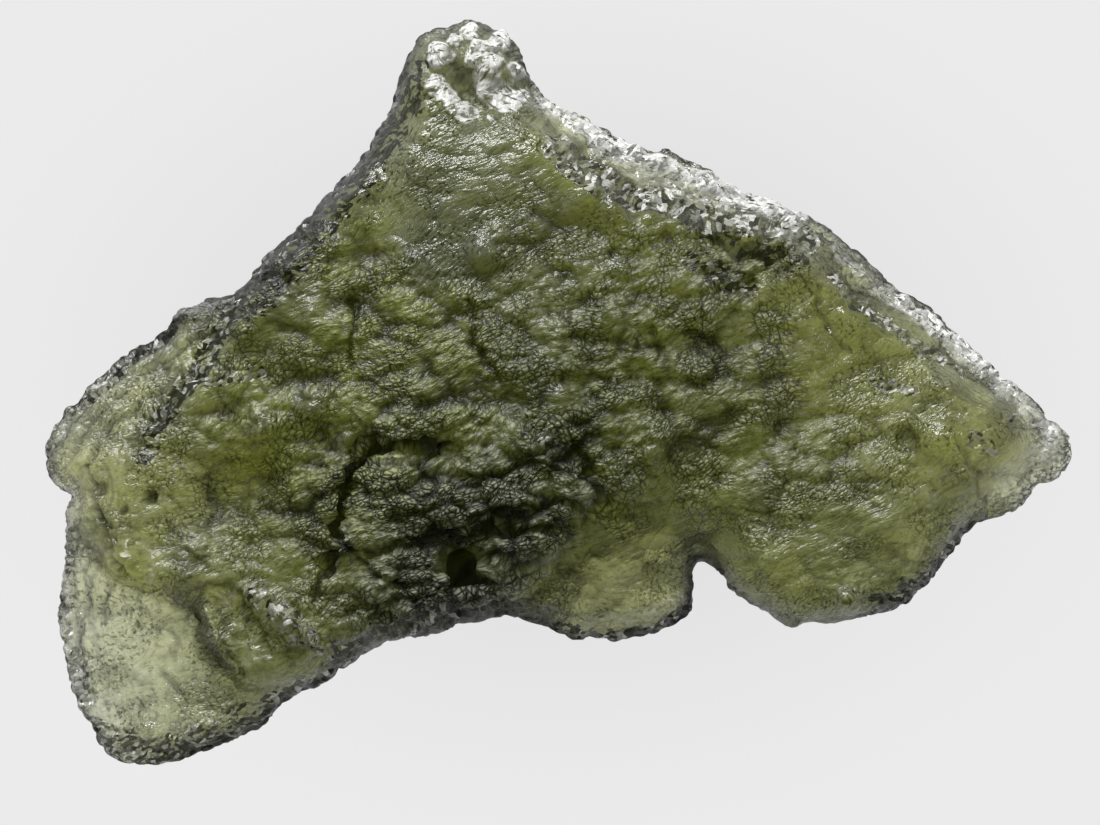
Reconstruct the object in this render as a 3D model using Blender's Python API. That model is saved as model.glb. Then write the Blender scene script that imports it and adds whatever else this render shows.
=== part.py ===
"""A raw moldavite, a leaf-shaped splash of green natural glass, lying on its back on a small flat spot.

One solid. Metres, +Z up. X and Y run along the broad face, and +Z is the way its sculpted front looks.
The origin is under the middle of the stone's box, on the surface that it lies on.
"""

import math
import random

import bmesh
import bpy
import numpy as np
from mathutils import Vector, geometry, kdtree, noise

# Driving dimensions, in metres
WIDTH = 0.046
MM = 0.001

# The outline and every feature are placed on a flat sheet, x to the right and y down, on which the
# stone is SHEET_WIDTH units wide. Heights and depths are in millimetres.
SHEET_WIDTH = 1027.0
SHEET_MIDDLE = (558.5, 390.0)
UNIT = WIDTH / SHEET_WIDTH

# The outline, clockwise from the left corner
LEFT_SHOULDER = [
    (45, 468), (48, 441), (54, 427), (65, 416), (68, 406), (81, 399), (87, 386), (113, 366), (124, 355),
    (147, 342), (159, 334), (172, 322), (178, 312), (199, 305), (206, 298), (229, 294), (247, 282),
]
LEFT_SLOPE = [
    (256, 270), (267, 252), (288, 238), (309, 214), (326, 195), (347, 172), (365, 151), (379, 126),
    (389, 109), (393, 91), (398, 75), (405, 60),
]
APEX = [
    (410, 44), (418, 33), (429, 25), (441, 28), (450, 27), (457, 21), (471, 16), (485, 22), (500, 30),
    (514, 36), (521, 51), (527, 67), (535, 84),
]
RIGHT_SLOPE = [
    (545, 96), (559, 108), (573, 110), (603, 126), (617, 134), (629, 145), (643, 146), (656, 151),
    (669, 148), (684, 156), (709, 168), (722, 182), (746, 192), (774, 202), (816, 217), (831, 226),
    (852, 247), (874, 263), (887, 279), (902, 293), (918, 297), (939, 314), (960, 337), (990, 364),
    (1000, 380), (1016, 385), (1030, 398),
]
RIGHT_TIP = [
    (1049, 411), (1046, 417), (1056, 422), (1065, 429), (1071, 440), (1072, 451), (1068, 466), (1062, 475),
    (1046, 483), (1037, 487), (1027, 501), (1012, 513),
]
LOWER_RIGHT = [
    (990, 520), (973, 526), (966, 533), (957, 548), (945, 565), (925, 590), (900, 608), (868, 617),
    (851, 620), (835, 624), (818, 623), (805, 624), (792, 630), (777, 619), (744, 601), (733, 596),
]
NOTCH = [(728, 584), (720, 574), (715, 567), (701, 563), (693, 566), (694, 584), (693, 601), (691, 614)]
CENTRE_EDGE = [
    (671, 627), (655, 635), (625, 639), (617, 643), (588, 640), (572, 643), (560, 633), (549, 627),
    (534, 622), (504, 618),
]
HOLLOW = [
    (471, 621), (458, 623), (452, 630), (421, 637), (387, 643), (369, 652), (350, 663), (337, 673),
]
LOWER_LEFT = [
    (320, 686), (301, 694), (283, 703), (269, 720), (252, 732), (236, 740), (217, 746), (197, 753),
    (181, 761), (142, 764), (128, 762), (113, 755), (101, 743), (93, 727), (83, 711), (75, 694), (70, 674),
    (65, 647), (61, 623),
]
LEFT_EDGE = [
    (61, 602), (66, 562), (68, 541), (66, 521), (68, 508), (73, 499), (71, 490), (59, 488), (51, 479),
]
OUTLINE = (
    LEFT_SHOULDER + LEFT_SLOPE + APEX + RIGHT_SLOPE + RIGHT_TIP + LOWER_RIGHT + NOTCH + CENTRE_EDGE
    + HOLLOW + LOWER_LEFT + LEFT_EDGE
)

# Marks: sheet x, sheet y and a value in millimetres there, with smooth country between them.
# How high the stone's edge is carried above the surface: the lobes curl up, as a splash does.
EDGE_MARKS = [
    (130, 690, 5.0), (70, 560, 4.9), (60, 440, 4.7), (200, 320, 4.1), (300, 420, 4.0), (470, 40, 3.0),
    (470, 250, 3.6), (520, 450, 3.9), (650, 160, 3.3), (850, 250, 3.6), (1060, 450, 4.4), (900, 600, 4.0),
    (700, 400, 3.8), (620, 630, 3.6), (350, 650, 4.2),
]
# How far the front stands above the edge's level, away from the ledges
BODY_MARKS = [
    (110, 470, 1.7), (200, 500, 2.5), (250, 400, 2.9), (300, 300, 3.0), (330, 480, 3.3), (300, 600, 3.0),
    (240, 560, 2.3), (400, 180, 2.7), (450, 110, 2.4), (520, 170, 2.9), (560, 250, 3.1), (450, 330, 3.4),
    (420, 430, 3.7), (455, 530, 4.7), (390, 570, 4.0), (545, 490, 4.2), (480, 600, 3.0), (520, 420, 3.6),
    (650, 300, 3.1), (650, 420, 3.1), (750, 320, 3.0), (760, 470, 2.9), (850, 340, 2.3), (870, 450, 2.7),
    (930, 430, 2.1), (800, 560, 2.4), (880, 570, 2.0), (700, 530, 2.2),
]
# How far the back hangs below it. It is cut off flat where it would reach below the surface.
BACK_MARKS = [
    (130, 650, 0.5), (80, 560, 0.4), (140, 540, 0.9), (70, 430, 0.5), (120, 375, 0.5), (170, 335, 0.7),
    (200, 400, 1.8), (260, 440, 2.6), (250, 560, 1.9), (350, 300, 2.6), (330, 520, 3.0), (450, 40, 0.6),
    (460, 110, 1.5), (450, 180, 2.2), (430, 330, 3.5), (430, 440, 4.2), (500, 500, 4.2), (450, 560, 3.4),
    (530, 400, 4.8), (600, 450, 4.2), (560, 330, 3.7), (590, 220, 2.2), (590, 125, 0.3), (680, 165, 0.4),
    (780, 210, 0.6), (870, 270, 0.5), (960, 345, 0.4), (680, 300, 2.8), (720, 440, 2.9), (770, 290, 2.0),
    (820, 380, 2.2), (890, 370, 1.5), (930, 450, 1.6), (1040, 440, 0.3), (990, 490, 0.6), (620, 600, 1.2),
    (820, 560, 1.7), (400, 620, 2.2), (230, 720, 0.8), (300, 670, 1.5),
]
MARK_REACH = 48.0

# Features have bent borders, so that none is a plain circle or line: how far on the sheet, over what size.
# The seed fixes how Blender's vector noise is shifted, which is different each time without it.
BEND, BEND_SIZE, BEND_SEED = 8.0, 36.0, 4

# Ledges on the front: a border on the sheet, the marks inside it and how wide its step is, in sheet units.
# Borders run out past the stone's own edge where they follow it.
LEDGES = {
    "window": (
        [
            (20, 496), (72, 500), (98, 538), (112, 572), (150, 586), (172, 583), (196, 603), (210, 640),
            (238, 674), (264, 688), (298, 670), (336, 650), (352, 700), (200, 800), (20, 800),
        ],
        [(150, 620, 0.5), (120, 700, 0.6), (230, 715, 1.0), (300, 690, 1.3), (80, 560, 0.9)],
        26.0,
    ),
    "shoulder": (
        [
            (250, 280), (222, 337), (212, 362), (186, 380), (172, 404), (150, 424), (118, 440), (84, 446),
            (60, 474), (20, 480), (20, 250), (240, 200),
        ],
        [(70, 430, 0.8), (120, 390, 1.0), (170, 350, 1.1), (225, 310, 1.2), (150, 400, 1.6)],
        30.0,
    ),
    "bevel": (
        [
            (510, 30), (522, 63), (532, 96), (542, 115), (568, 147), (580, 164), (616, 189), (635, 207),
            (668, 207), (690, 217), (732, 223), (782, 235), (800, 246), (817, 262), (862, 305), (900, 328),
            (922, 345), (946, 370), (965, 382), (999, 402), (1022, 424), (1090, 430), (1090, 300),
            (900, 150), (700, 50), (560, 10),
        ],
        [
            (540, 100, 0.3), (600, 150, 0.4), (680, 190, 0.5), (800, 225, 0.8), (900, 305, 0.7),
            (1000, 385, 0.4),
        ],
        18.0,
    ),
    "tip": (
        [
            (1022, 420), (1016, 446), (990, 466), (968, 492), (956, 524), (940, 570), (1100, 600),
            (1100, 400),
        ],
        [(1040, 450, 0.6), (1000, 490, 0.8), (970, 530, 1.0)],
        22.0,
    ),
    "centre_lobe": (
        [
            (500, 612), (520, 582), (560, 560), (584, 540), (576, 516), (600, 504), (640, 508), (685, 514),
            (716, 520), (738, 545), (740, 578), (728, 610), (700, 660), (600, 670), (500, 650),
        ],
        [(620, 560, 1.9), (560, 600, 1.4), (600, 625, 0.9), (660, 610, 1.1), (715, 550, 0.9)],
        26.0,
    ),
    "crest": (
        [
            (395, 60), (424, 66), (436, 84), (452, 112), (476, 128), (500, 112), (524, 104), (545, 60),
            (500, 0), (410, 0),
        ],
        [(430, 50, 1.2), (470, 60, 1.5), (500, 80, 1.5)],
        12.0,
    ),
}

# Round features of the front: sheet x, sheet y, radius and height. A hollow's height is below 0.
FRONT_ROUNDS = [
    (464, 566, 24, -1.5), (268, 432, 27, 0.7), (131, 560, 23, 0.8), (318, 400, 22, 0.5),
    (735, 332, 17, -0.5), (792, 300, 24, -0.7), (938, 437, 30, 0.5), (905, 436, 16, -0.5),
    (194, 616, 15, -0.5), (848, 598, 20, 0.5),
    (612, 560, 26, -0.4), (380, 575, 26, 0.5), (420, 600, 22, 0.4), (345, 545, 24, 0.5), (540, 460, 22, 0.4),
    (512, 545, 20, 0.5), (660, 440, 30, 0.4), (700, 370, 24, 0.4), (640, 372, 18, -0.4), (560, 330, 24, 0.4),
    (490, 250, 26, 0.3), (472, 88, 16, -0.6), (440, 60, 14, 0.4), (498, 72, 16, 0.4), (880, 520, 26, 0.4),
    (760, 560, 30, 0.3), (245, 330, 20, 0.5), (350, 330, 26, 0.4), (230, 500, 28, -0.4),
]
# Long features of the front: two ends on the sheet, half width and height
FRONT_FURROWS = [
    ((226, 602), (258, 652), 17, -1.1),
    ((262, 596), (334, 652), 8, 0.8),
    ((330, 560), (372, 450), 9, -0.9),
    ((372, 450), (450, 446), 8, -0.7),
    ((455, 445), (470, 540), 8, -0.7),
    ((590, 470), (606, 520), 9, -0.8),
    ((410, 100), (372, 210), 12, -0.6),
    ((300, 300), (262, 372), 10, -0.5),
    ((700, 236), (772, 262), 8, -0.7),
    ((735, 290), (790, 250), 8, -0.5),
    ((650, 330), (668, 372), 6, -0.5),
    ((815, 300), (845, 352), 8, -0.6),
    ((90, 742), (240, 728), 9, 0.5),
    ((240, 728), (330, 672), 9, 0.7),
    ((68, 540), (72, 660), 7, 0.5),
]

# Lumps all over, as rounded cells this far apart on the sheet, with creases between them. The marks say how
# strong they are on the front, and the shares how much of them each ledge keeps.
FRONT_LUMP, FRONT_LUMP_MM = 50.0, 1.0
BACK_LUMP, BACK_LUMP_MM = 66.0, 0.8
LUMP_MARKS = [
    (450, 540, 1.6), (360, 500, 1.4), (300, 400, 1.0), (450, 400, 1.0), (450, 200, 0.8), (650, 350, 1.1),
    (600, 250, 0.8), (850, 330, 0.6), (780, 430, 0.9), (900, 450, 0.7), (800, 560, 0.5), (250, 560, 0.9),
]
LEDGE_LUMPS = {"window": 0.1, "shoulder": 0.3, "bevel": 0.35, "tip": 0.4, "centre_lobe": 0.4, "crest": 1.0}
# How far lumps are stretched along x, the height on one that counts as level, and where each face's begin
LUMP_STRETCH = 1.3
LUMP_MIDDLE = 0.8
FRONT_SEED, BACK_SEED = 1.0, 7.0

# The back's round hollows, and the depth of the back at which its relief is full
HOLLOWS, HOLLOW_RADII, HOLLOW_MM, HOLLOW_SEED = 24, (20.0, 40.0), 0.7, 5
FULL_RELIEF, LEAST_RELIEF = 2.5, 0.2

# The least height or depth of a face, before it thins towards the edge
THINNEST = 0.3

# The edge: how far in each face takes to rise, and how ragged it is
FRONT_REACH, BACK_REACH = 11.0, 15.0
RAGGED = 2.2
RAGGED_SIZE = 17.0

# The mesh: how far apart its points are, on the edge, on rings just inside it, and on each face
EDGE_STEP = 12.5
RINGS = (5.0, 12.0, 21.0)
FRONT_STEP, BACK_STEP = 14.8, 23.0
JITTER = 0.22
CLOSEST = 0.62
# Rings of points on a round feature: the inner ring's share of its radius, the fewest points on a ring, the
# radius for each point on the outer one, and how close they may come to other points, as a share of it
FEATURE_RING, FEWEST, PER_RADIUS, FEATURE_APART = 0.55, 6, 2.2, 0.3

# Sheet distances too short to count
TINY, SAME_POINT = 1e-9, 1e-6

# The glass
GLASS_COLOUR = (0.20, 0.25, 0.06, 1.0)
GLASS_ROUGHNESS = 0.35
GLASS_IOR = 1.49


def clear_scene():
    for old in list(bpy.data.objects):
        bpy.data.objects.remove(old)


def segments_of(loop):
    points = np.array(loop, float)
    return points, np.roll(points, -1, axis=0)


def distance_to(points, starts, ends):
    """Each point's distance to the nearest of these segments."""
    along = ends - starts
    away = points[:, None, :] - starts[None, :, :]
    share = np.clip((away * along).sum(-1) / (along**2).sum(-1), 0, 1)
    return np.linalg.norm(away - share[..., None] * along, axis=-1).min(axis=1)


def inside(points, loop):
    """Which points lie inside a closed border, by counting its crossings."""
    starts, ends = segments_of(loop)
    x, y = points[:, 0:1], points[:, 1:2]
    spans = (starts[:, 1] > y) != (ends[:, 1] > y)
    rise = np.where(ends[:, 1] == starts[:, 1], TINY, ends[:, 1] - starts[:, 1])
    crossing = starts[:, 0] + (y - starts[:, 1]) / rise * (ends[:, 0] - starts[:, 0])
    return (spans & (x < crossing)).sum(axis=1) % 2 == 1


def depth_in(points, loop):
    """Distance to a border, positive inside it."""
    distance = distance_to(points, *segments_of(loop))
    return np.where(inside(points, loop), distance, -distance)


def smooth_step(value):
    share = np.clip(value, 0, 1)
    return share * share * (3 - 2 * share)


def from_marks(points, marks):
    """The value at each point, smoothly between the marks near it."""
    marks = np.array(marks, float)
    squares = ((points[:, None, :] - marks[None, :, :2]) ** 2).sum(-1)
    nearest = squares.min(axis=1, keepdims=True)
    weights = np.exp((nearest - squares) / (2 * MARK_REACH**2))
    return (weights * marks[:, 2]).sum(axis=1) / weights.sum(axis=1)


def bend(points):
    """How far the features' borders are bent at each point."""
    return BEND * np.array([noise.noise_vector(Vector((x, y, 0.0)) / BEND_SIZE)[:2] for x, y in points])


def lumps(points, size, offset):
    """Rounded cells with creases between them, 0 in the deepest crease and about 1 on a lump."""
    heights = []
    for x, y in points:
        bend = noise.noise(Vector((x, y, offset)) / (2 * size))
        place = Vector((x / LUMP_STRETCH + size * bend, y - size * bend, offset * size)) / size
        nearest = noise.voronoi(place)[0][0]
        heights.append(math.sqrt(max(0.0, 1.0 - nearest * nearest)))
    return np.array(heights)


def rounds(points, features):
    """Domes and round hollows, as caps of spheres."""
    total = np.zeros(len(points))
    for x, y, radius, height in features:
        share = ((points[:, 0] - x) ** 2 + (points[:, 1] - y) ** 2) / radius**2
        total += height * np.clip(1 - share, 0, None)
    return total


def furrows(points, features):
    """Furrows and ridges along straight runs, with round sides."""
    total = np.zeros(len(points))
    for start, end, half_width, height in features:
        distance = distance_to(points, np.array([start], float), np.array([end], float))
        total += height * np.clip(1 - (distance / half_width) ** 2, 0, None)
    return total


def rim_rise(points, reach):
    """0 on the stone's edge, rising to 1 well inside it."""
    return 1 - np.exp(-distance_to(points, *segments_of(OUTLINE)) / reach)


def front_height(points):
    """Millimetres from the edge's level up to the front."""
    bent = points + bend(points)
    height = from_marks(points, BODY_MARKS)
    lumpiness = from_marks(points, LUMP_MARKS)
    for name, (border, marks, width) in LEDGES.items():
        share = smooth_step(0.5 + depth_in(bent, border) / width)
        height += share * (from_marks(points, marks) - height)
        lumpiness += share * (LEDGE_LUMPS[name] - lumpiness)
    height += FRONT_LUMP_MM * lumpiness * (lumps(points, FRONT_LUMP, FRONT_SEED) - LUMP_MIDDLE)
    height += rounds(bent, FRONT_ROUNDS) + furrows(bent, FRONT_FURROWS)
    return np.maximum(height, THINNEST) * rim_rise(points, FRONT_REACH)


def back_height(points, hollows):
    """Millimetres from the edge's level down to the back."""
    height = from_marks(points, BACK_MARKS)
    share = np.clip(height / FULL_RELIEF, LEAST_RELIEF, 1.0)
    height += share * BACK_LUMP_MM * (lumps(points, BACK_LUMP, BACK_SEED) - LUMP_MIDDLE)
    height += share * rounds(points + bend(points), hollows)
    return np.maximum(height, THINNEST) * rim_rise(points, BACK_REACH)


def back_hollows():
    """Round hollows scattered over the back, none across another."""
    chance = random.Random(HOLLOW_SEED)
    (left, top), (right, bottom) = np.min(OUTLINE, axis=0), np.max(OUTLINE, axis=0)
    placed = []
    while len(placed) < HOLLOWS:
        x, y = chance.uniform(left, right), chance.uniform(top, bottom)
        radius = chance.uniform(*HOLLOW_RADII)
        if depth_in(np.array([(x, y)]), OUTLINE)[0] < radius:
            continue
        if all(math.hypot(x - a, y - b) > radius + r for a, b, r, _ in placed):
            placed.append((x, y, radius, -HOLLOW_MM * radius / max(HOLLOW_RADII)))
    return placed


def ragged_edge():
    """The outline cut into even steps, and pushed in and out a little."""
    starts, ends = segments_of(OUTLINE)
    points = []
    for start, end in zip(starts, ends):
        steps = max(1, round(np.linalg.norm(end - start) / EDGE_STEP))
        points += [start + (end - start) * i / steps for i in range(steps)]
    points = np.array(points)
    along = np.roll(points, -1, axis=0) - np.roll(points, 1, axis=0)
    outward = np.stack([along[:, 1], -along[:, 0]], axis=1) / np.linalg.norm(along, axis=1)[:, None]
    push = [RAGGED * noise.noise(Vector((x, y, 0.0)) / RAGGED_SIZE) for x, y in points]
    return points + outward * np.array(push)[:, None], outward


def face_points(edge, outward, step, features):
    """Points for one face: rings inside the edge, rings on its round features, then a jittered grid."""
    wanted = [(edge - outward * ring, CLOSEST * ring) for ring in RINGS]
    for x, y, radius, _ in features:
        turns = [(0.0, 1), (FEATURE_RING * radius, FEWEST), (radius, max(FEWEST, round(radius / PER_RADIUS)))]
        ring = np.array([
            (x + r * math.cos(2 * math.pi * i / n), y + r * math.sin(2 * math.pi * i / n))
            for r, n in turns
            for i in range(n)
        ])
        wanted.append((ring - bend(ring), FEATURE_APART * radius))
    chance = random.Random(round(step))
    (left, top), (right, bottom) = edge.min(axis=0), edge.max(axis=0)
    rows, columns = np.arange(top, bottom, step * math.sqrt(3) / 2), np.arange(left, right, step)
    grid = np.array([(x + step * 0.5 * (i % 2), y) for i, y in enumerate(rows) for x in columns])
    jitter = np.array([(chance.uniform(-JITTER, JITTER), chance.uniform(-JITTER, JITTER)) for _ in grid])
    wanted.append((grid + step * jitter, CLOSEST * step))
    kept = []
    for points, apart in wanted:
        points = points[depth_in(points, edge) > min(apart, CLOSEST * RINGS[0])]
        tree = kdtree.KDTree(len(kept))
        for i, (x, y) in enumerate(kept):
            tree.insert((x, y, 0), i)
        tree.balance()
        kept += [p for p in points if not kept or tree.find((p[0], p[1], 0))[2] > apart]
    return np.array(kept)


def triangulate(edge, inner):
    """Triangles over one face. A side that cuts across from edge point to edge point gets a point."""
    count = len(edge)
    border = [(i, (i + 1) % count) for i in range(count)]
    while True:
        points = np.vstack([edge, inner])
        made = geometry.delaunay_2d_cdt([Vector(p) for p in points], border, [], 1, SAME_POINT)
        index = [sources[0] for sources in made[3]]
        triangles = [[index[v] for v in face] for face in made[2]]
        across = {
            tuple(sorted((a, b)))
            for face in triangles
            for a, b in zip(face, face[1:] + face[:1])
            if a < count and b < count and (b - a) % count not in (1, count - 1)
        }
        if not across:
            return points, triangles
        middles = [(points[a] + points[b]) / 2 for a, b in sorted(across)]
        inner = np.vstack([inner, middles])


def counter_clockwise(points, face):
    (ax, ay), (bx, by), (cx, cy) = (points[v] for v in face)
    return (bx - ax) * (cy - ay) - (by - ay) * (cx - ax) > 0


def place(points, heights_mm):
    """Sheet positions and heights as metres, y turned up."""
    x = (points[:, 0] - SHEET_MIDDLE[0]) * UNIT
    y = (SHEET_MIDDLE[1] - points[:, 1]) * UNIT
    return np.stack([x, y, heights_mm * MM], axis=1)


def stone_mesh():
    edge, outward = ragged_edge()
    hollows = back_hollows()
    front, front_faces = triangulate(edge, face_points(edge, outward, FRONT_STEP, FRONT_ROUNDS))
    back, back_faces = triangulate(edge, face_points(edge, outward, BACK_STEP, hollows))
    top = from_marks(front, EDGE_MARKS) + front_height(front)
    under = np.maximum(from_marks(back, EDGE_MARKS) - back_height(back, hollows), 0.0)
    rim = from_marks(edge, EDGE_MARKS)
    count = len(edge)
    vertices = np.vstack(
        [place(edge, rim), place(front[count:], top[count:]), place(back[count:], under[count:])]
    )
    shift = len(front) - count
    # The sheet's y runs down, so a triangle that turns clockwise on it faces up.
    up = [f if not counter_clockwise(front, f) else f[::-1] for f in front_faces]
    down = [f if counter_clockwise(back, f) else f[::-1] for f in back_faces]
    down = [[v if v < count else v + shift for v in face] for face in down]
    low, high = vertices.min(axis=0), vertices.max(axis=0)
    vertices -= ((low[0] + high[0]) / 2, (low[1] + high[1]) / 2, low[2])
    mesh = bpy.data.meshes.new("moldavite")
    mesh.from_pydata([tuple(v) for v in vertices], [], up + down)
    shape = bmesh.new()
    shape.from_mesh(mesh)
    bmesh.ops.recalc_face_normals(shape, faces=shape.faces)
    shape.to_mesh(mesh)
    shape.free()
    mesh.shade_smooth()
    return mesh


def glass_material():
    material = bpy.data.materials.new("moldavite_glass")
    material.use_nodes = True
    shader = material.node_tree.nodes["Principled BSDF"]
    shader.inputs["Base Color"].default_value = GLASS_COLOUR
    shader.inputs["Roughness"].default_value = GLASS_ROUGHNESS
    shader.inputs["Metallic"].default_value = 0.0
    shader.inputs["IOR"].default_value = GLASS_IOR
    return material


def main():
    clear_scene()
    noise.seed_set(BEND_SEED)
    mesh = stone_mesh()
    mesh.materials.append(glass_material())
    stone = bpy.data.objects.new("moldavite", mesh)
    bpy.context.scene.collection.objects.link(stone)


main()
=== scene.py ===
"""The looks of a raw moldavite: see-through green glass with an etched, knobbly front, on a pale floor.

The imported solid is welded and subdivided, then the knobs, chips, pits and flow lines that are too small for
it are raised on the surface. Places on the stone are given on a flat sheet, x to the right and y down, on
which the stone is SHEET_WIDTH units wide.
"""

import bmesh
import bpy
import numpy as np
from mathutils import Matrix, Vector, kdtree, noise

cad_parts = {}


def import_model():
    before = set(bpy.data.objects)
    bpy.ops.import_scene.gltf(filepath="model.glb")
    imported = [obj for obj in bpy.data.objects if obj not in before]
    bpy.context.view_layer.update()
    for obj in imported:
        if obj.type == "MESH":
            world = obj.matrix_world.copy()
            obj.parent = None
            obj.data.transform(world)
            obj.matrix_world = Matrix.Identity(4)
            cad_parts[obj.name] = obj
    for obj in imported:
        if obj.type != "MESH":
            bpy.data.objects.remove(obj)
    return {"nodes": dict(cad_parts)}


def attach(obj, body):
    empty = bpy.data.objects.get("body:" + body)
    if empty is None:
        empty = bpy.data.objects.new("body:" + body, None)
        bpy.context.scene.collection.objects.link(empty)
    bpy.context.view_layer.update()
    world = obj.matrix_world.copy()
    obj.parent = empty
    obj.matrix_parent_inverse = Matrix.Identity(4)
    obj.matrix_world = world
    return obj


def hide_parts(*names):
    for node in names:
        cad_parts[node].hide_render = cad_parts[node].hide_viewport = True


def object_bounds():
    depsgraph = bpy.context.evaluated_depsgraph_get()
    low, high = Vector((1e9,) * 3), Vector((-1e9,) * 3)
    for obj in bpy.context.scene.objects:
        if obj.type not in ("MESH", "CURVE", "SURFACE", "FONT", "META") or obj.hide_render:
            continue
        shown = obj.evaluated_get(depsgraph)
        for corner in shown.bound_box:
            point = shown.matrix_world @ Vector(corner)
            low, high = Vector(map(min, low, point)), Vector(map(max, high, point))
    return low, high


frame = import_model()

NODE = "moldavite"
CAD_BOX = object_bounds()

# The sheet, and the stone's real width, in metres
WIDTH = 0.046
SHEET_WIDTH = 1027.0
SHEET_MIDDLE = (558.5, 390.0)
UNIT = WIDTH / SHEET_WIDTH
MM = 0.001

# The picture: its size on the sheet, and how far off the camera stands for its lens
PICTURE = (1100.0, 825.0)
LENS, SENSOR, NEAREST = 180.0, 36.0, 0.01
EDGE_LEVEL = 0.0042

# The surface
WELD = 1e-6
LEVELS = 2
RIM_CREASE = 0.9

# Marks: sheet x, sheet y and a value there, which changes smoothly from one to the next.
# How strong the relief of the front is
RELIEF_MARKS = [
    (450, 540, 1.7), (370, 500, 1.3), (560, 520, 1.5), (300, 400, 0.9), (400, 330, 0.8), (450, 400, 1.0),
    (470, 200, 0.4), (430, 150, 0.25), (560, 250, 0.7), (650, 330, 1.1), (680, 270, 1.0), (740, 290, 1.2),
    (700, 420, 1.0), (780, 450, 0.9), (850, 330, 0.45), (900, 360, 0.5), (880, 450, 0.65), (940, 420, 0.5),
    (950, 480, 0.7), (800, 560, 0.6), (870, 580, 0.65), (740, 540, 0.7), (620, 560, 0.55), (600, 620, 0.6),
    (150, 640, 0.15), (110, 700, 0.25), (230, 700, 0.55), (120, 470, 0.55), (100, 430, 0.5), (160, 370, 0.6),
    (220, 310, 0.8), (230, 400, 0.9), (200, 500, 0.8), (280, 600, 0.8), (240, 630, 0.35), (600, 150, 0.25),
    (700, 190, 0.3), (850, 270, 0.4), (980, 380, 0.35), (1040, 450, 0.25), (990, 500, 0.4), (470, 60, 0.7),
]
# How much of the front is dulled by fine etching
HAZE_MARKS = [
    (400, 330, 1.0), (300, 480, 1.0), (450, 420, 0.9), (350, 570, 0.9), (260, 400, 0.8), (500, 480, 0.6),
    (560, 330, 0.6), (650, 400, 0.7), (480, 200, 0.9), (430, 130, 0.6), (740, 300, 0.5), (850, 340, 0.2),
    (760, 460, 0.7), (900, 440, 0.35), (820, 540, 0.8), (620, 560, 0.3), (140, 650, 0.0), (230, 690, 0.5),
    (120, 440, 0.1), (700, 190, 0.2), (1030, 450, 0.1), (240, 630, 0.1), (440, 590, 0.5), (190, 625, 0.7),
]
# Painted shade along the edge, where it is a steep broken face
EDGE_SHADE_MARKS = [
    (320, 195, 1.0), (240, 290, 0.8), (380, 110, 0.8), (400, 70, 0.4), (300, 690, 0.9), (230, 740, 0.9),
    (400, 640, 1.0), (480, 620, 0.8), (540, 620, 0.5), (600, 640, 0.2), (660, 630, 0.8), (692, 590, 0.9),
    (730, 590, 0.1), (790, 625, 0.1), (850, 618, 0.4), (890, 610, 0.8), (945, 565, 1.0), (970, 525, 0.5),
    (1040, 490, 0.1), (1065, 440, 0.1), (980, 350, 0.1), (880, 270, 0.2), (780, 205, 0.1), (680, 155, 0.1),
    (600, 130, 0.0), (540, 90, 0.0), (470, 25, 0.2), (180, 320, 0.6), (120, 360, 0.3), (70, 410, 0.2),
    (50, 460, 0.05), (65, 560, 0.1), (65, 640, 0.15), (90, 720, 0.35), (140, 760, 0.3),
]
EDGE_SHADE_REACH = 11.0
MARK_REACH = 30.0
# How far past its own size a patch, a band or a line fades out
PATCH_END, BAND_END, LINE_END = 1.35, 1.6, 1.4

# How much painted shade darkens and dulls the surface, where little light comes through the glass
THICK_SHADE_MARKS = [
    (450, 560, 0.95), (400, 575, 0.9), (500, 530, 0.75), (560, 500, 0.55), (380, 500, 0.45), (440, 480, 0.4),
    (340, 560, 0.5), (420, 610, 0.7), (470, 600, 0.85), (325, 215, 0.45), (285, 255, 0.4), (370, 140, 0.25),
    (300, 400, 0.0), (450, 380, 0.05), (600, 400, 0.1), (560, 440, 0.2), (820, 500, 0.5), (850, 590, 0.5),
    (900, 520, 0.45), (760, 560, 0.45), (700, 500, 0.2),
    (192, 648, 0.65), (222, 674, 0.7), (150, 640, 0.0), (120, 690, 0.05), (100, 430, 0.15), (160, 400, 0.3),
    (640, 560, 0.0), (430, 200, 0.9), (460, 150, 0.85), (600, 300, 0.1), (340, 220, 0.1), (860, 330, 0.0),
    (930, 430, 0.1), (1040, 450, 0.0), (700, 190, 0.0), (600, 150, 0.0), (730, 260, 0.3), (540, 600, 0.3),
    (500, 190, 0.85), (540, 230, 0.3),
]

# Lumps of the peak, white with a painted glint: sheet x, sheet y and radius
GLINT_LUMPS = [
    (440, 56, 13), (434, 86, 11), (446, 95, 12), (466, 112, 14), (456, 104, 11), (474, 60, 12), (486, 78, 16),
    (496, 94, 17), (508, 106, 12), (493, 58, 13), (499, 40, 12), (470, 34, 10), (490, 120, 5), (514, 72, 10),
    (520, 98, 8), (455, 40, 9), (482, 47, 12),
]
# Pale strips with a faint painted glint: the points along each and its half width
PALE_STRIPS = [
    ([(540, 100), (600, 146), (660, 176), (720, 193), (790, 216)], 22),
    ([(835, 250), (880, 290), (940, 332), (1000, 388), (1050, 430)], 12),
    ([(1000, 476), (1020, 462), (1048, 450)], 18),
    ([(548, 104), (610, 142), (670, 166), (740, 194), (800, 218)], 8),
    ([(900, 300), (960, 344), (1010, 386)], 6),
    ([(590, 618), (640, 614), (678, 600)], 12),
    ([(70, 400), (110, 360), (165, 318), (215, 305)], 9),
    ([(154, 574), (172, 588), (190, 604)], 10),
    ([(68, 500), (66, 560), (70, 630), (84, 700)], 7),
]
PALE_GLINT = 0.44
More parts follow.
